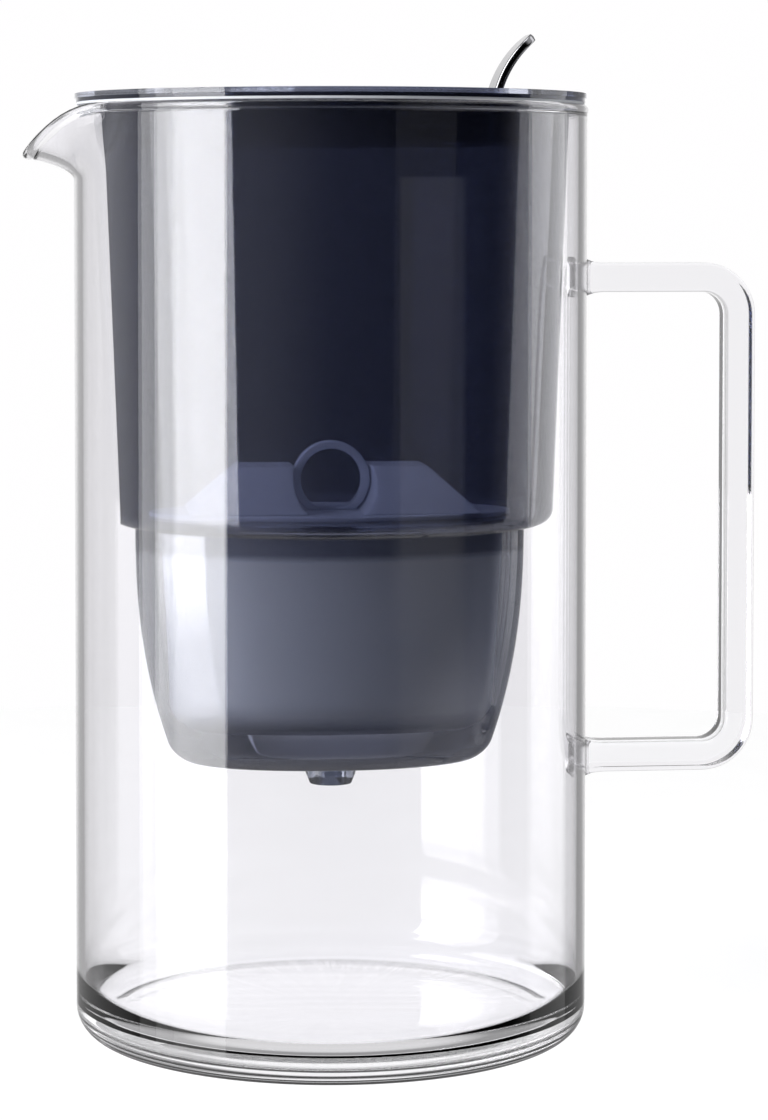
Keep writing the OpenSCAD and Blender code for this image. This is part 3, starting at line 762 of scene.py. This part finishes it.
# %% Finishes of the CAD nodes
dress = {"rim_gasket": "gasket", "funnel": "smoked", "outlet_nozzle": "nozzle",
    "cartridge_seal": "seal", "lid_frame": "lid", "hinge_pin": "steel", "fill_flap": "lid",
    "lever_rivets": "steel"}
for node, finish in dress.items():
    shape = bpy.data.objects[node].data
    shape.materials.clear()
    shape.materials.append(finishes[finish])
print("dressed:", len(dress))

# %% [markdown]
# The studio is a white backdrop in a dim room, as for any picture of glass. The camera sees
# white all round. Rays that glass bends see white too, greyer toward the sides, and dimmer
# behind several walls. Mirrored rays see the backdrop behind the jug and the dim room in
# front of it, so that the dark plastic stays dark and the rims of the glass draw fine lines.
# Only toward the sides and steeply up or down do they find more light, which the thick foot
# of the glass gathers. Scattered rays find an even, low light.

# %% World
CAMERA_TURN = math.radians(6)
MANY_WALLS = 6.5
BEHIND_WALLS = 0.5
ROOM_LIGHT = 0.25
world = bpy.data.worlds.new("studio")
bpy.context.scene.world = world
world.use_nodes = True
sky = Tree(world.node_tree)
toward = sky.node("ShaderNodeTexCoord", out="Generated")


def share(direction):
    """How much a ray runs in a direction, from -1 to 1."""
    return sky.node("ShaderNodeVectorMath", {"operation": "DOT_PRODUCT"},
        {0: toward, 1: direction}, out=1)


def fade(value, low, high, start, end):
    return sky.node("ShaderNodeMapRange", {"interpolation_type": "SMOOTHSTEP"},
        {"Value": value, "From Min": low, "From Max": high, "To Min": start, "To Max": end})


heading = share((math.sin(CAMERA_TURN), math.cos(CAMERA_TURN), 0))
leftward = share((-math.cos(CAMERA_TURN), math.sin(CAMERA_TURN), 0))
away = abs(heading)
steep = abs(sky.height(toward))
through = fade(away, 0.1, 0.7, 0.04, 0.6) + fade(away, 0.7, 0.95, 0.0, 0.36)
mirrored = (fade(heading, -0.1, 0.3, 0.0, 0.33) + fade(heading, 0.9, 0.99, 0.0, 0.65)
    + fade(leftward, -0.1, 0.75, 0.0, 0.14))
mirrored = mirrored.most(fade(steep, 0.2, 0.5, 0.0, 0.75) * fade(away, 0.35, 0.85, 1.0, 0.0))
mirrors = sky.bounced("Glossy Depth")
matt = sky.bounced("Diffuse Depth")
walls = sky.ray("Transmission Depth").over(MANY_WALLS)
straight = sky.ray("Is Camera Ray").most(
    sky.ray("Is Transmission Ray") * through * (1 - walls * BEHIND_WALLS))
level = ((1 - mirrors) * (1 - matt) * straight + mirrors * (1 - matt) * mirrored
    + matt * ROOM_LIGHT)
sky.end("ShaderNodeOutputWorld", sky.node("ShaderNodeBackground", None,
    {"Color": (1, 0.995, 1, 1), "Strength": level}))
print("world nodes:", len(world.node_tree.nodes))

# %% [markdown]
# The floor is a pale matt sheet. For the camera it carries a little light of its own, which
# lifts it to the white of the backdrop and leaves the shadow of the jug on it. Mirrored rays
# pass it, as they have the dim room below the table to show.

# %% Floor
FLOOR_GLOW = 0.78


def floor_white(tree):
    grain = noise(tree, 40, 3)
    sheet = tree.node("ShaderNodeBsdfPrincipled", None, {
        "Base Color": tint(tree, grain, (0.24, 0.24, 0.243), (0.26, 0.26, 0.263)),
        "Roughness": 0.7, "Specular IOR Level": 0.1})
    seen = tree.ray("Is Camera Ray").most(tree.ray("Is Transmission Ray"))
    glow = tree.node("ShaderNodeEmission", None, {"Strength": seen * FLOOR_GLOW})
    lit = tree.node("ShaderNodeAddShader", None, {0: sheet, 1: glow})
    gone = tree.node("ShaderNodeBsdfTransparent")
    return tree.node("ShaderNodeMixShader", None,
        {0: tree.bounced("Glossy Depth"), 1: lit, 2: gone})


add_finishes(floor=floor_white)
bm = bmesh.new()
bmesh.ops.create_circle(bm, cap_ends=True, segments=96, radius=0.6)
mesh = bpy.data.meshes.new("floor")
bm.to_mesh(mesh)
bm.free()
mesh.materials.append(finishes["floor"])
put("floor", mesh)

# %% [markdown]
# Tall softboxes stand round the jug. A round wall mirrors a lamp at half its bearing, so the
# bright bands in the picture give the bearings: a strong box on the left with two weaker
# strips beside it, a weak one on the right and behind, and a faint one on the right in front.
# Each box fades toward the floor, and its own nodes all but hide it from rays that come
# straight from the camera or only through glass. A small lamp from above softens the top.

# %% Softboxes
SEEN_THROUGH = 0.12
LAMP_FAR = 1.3


def softbox(name, start, end, radiance, tall=2.3, z=0.55):
    """A tall lamp that fills the bearings between two angles, from the camera to the left."""
    a = math.radians((start + end) / 2) + CAMERA_TURN
    data = bpy.data.lights.new(name, "AREA")
    data.shape = "RECTANGLE"
    data.size = 2 * LAMP_FAR * math.tan(math.radians(abs(end - start) / 2))
    data.size_y = tall
    data.energy = radiance * math.pi * data.size * tall
    data.use_nodes = True
    glow = Tree(data.node_tree)
    level = glow.node("ShaderNodeMapRange", None, {
        "Value": glow.height(glow.node("ShaderNodeNewGeometry", out="Position")),
        "From Min": -0.3, "From Max": 0.0, "To Min": 0.25, "To Max": 1.0})
    straight = glow.ray("Is Camera Ray").most(glow.ray("Is Transmission Ray"))
    turned = glow.bounced("Glossy Depth").most(glow.bounced("Diffuse Depth"))
    hidden = straight * (1 - turned) * (1 - SEEN_THROUGH)
    glow.end("ShaderNodeOutputLight", glow.node("ShaderNodeEmission", None,
        {"Strength": level * (1 - hidden)}))
    lamp = put(name, data)
    lamp.location = (-LAMP_FAR * math.sin(a), -LAMP_FAR * math.cos(a), z)
    lamp.rotation_euler = (math.radians(90), 0, -a)
    print(name, "width", round(data.size, 2), "m, power", round(data.energy, 1), "W")


softbox("left_box", 46, 72, 7.4)
softbox("left_fade", 72, 82, 5.4)
softbox("left_edge", 82, 92, 2.4)
softbox("right_box", -128, -98, 1.3)
softbox("right_front", -60, -30, 0.15, 0.5, -0.014)
above = bpy.data.lights.new("top_box", "AREA")
above.size = 0.8
above.energy = 2.0 * math.pi * above.size ** 2
put("top_box", above).location = (-0.1, -0.1, 1.5)

# %% [markdown]
# The camera stands almost level with the rim, a little lower than the lid, and looks slightly
# down. A long lens keeps the walls nearly upright, and the small shift frames the pitcher.
# Light crosses many faces of glass here, so the rays may bend more often than usual.

# %% Camera
CAMERA_FAR = 0.9206
CAMERA_Z = 0.2219
CAMERA_DOWN = math.radians(2.618)
BOUNCES = 24
lens = bpy.data.cameras.new("camera")
lens.lens = 111.29
lens.shift_x, lens.shift_y = 0.0477, -0.18
lens.clip_end = 50
camera = put("camera", lens)
camera.location = (-CAMERA_FAR * math.sin(CAMERA_TURN), -CAMERA_FAR * math.cos(CAMERA_TURN),
    CAMERA_Z)
camera.rotation_euler = (math.pi / 2 - CAMERA_DOWN, 0, -CAMERA_TURN)
scene = bpy.context.scene
scene.camera = camera
scene.view_settings.view_transform = "Standard"
scene.cycles.max_bounces = BOUNCES
scene.cycles.transmission_bounces = BOUNCES
scene.cycles.transparent_max_bounces = BOUNCES
print("camera at", [round(c, 3) for c in camera.location])
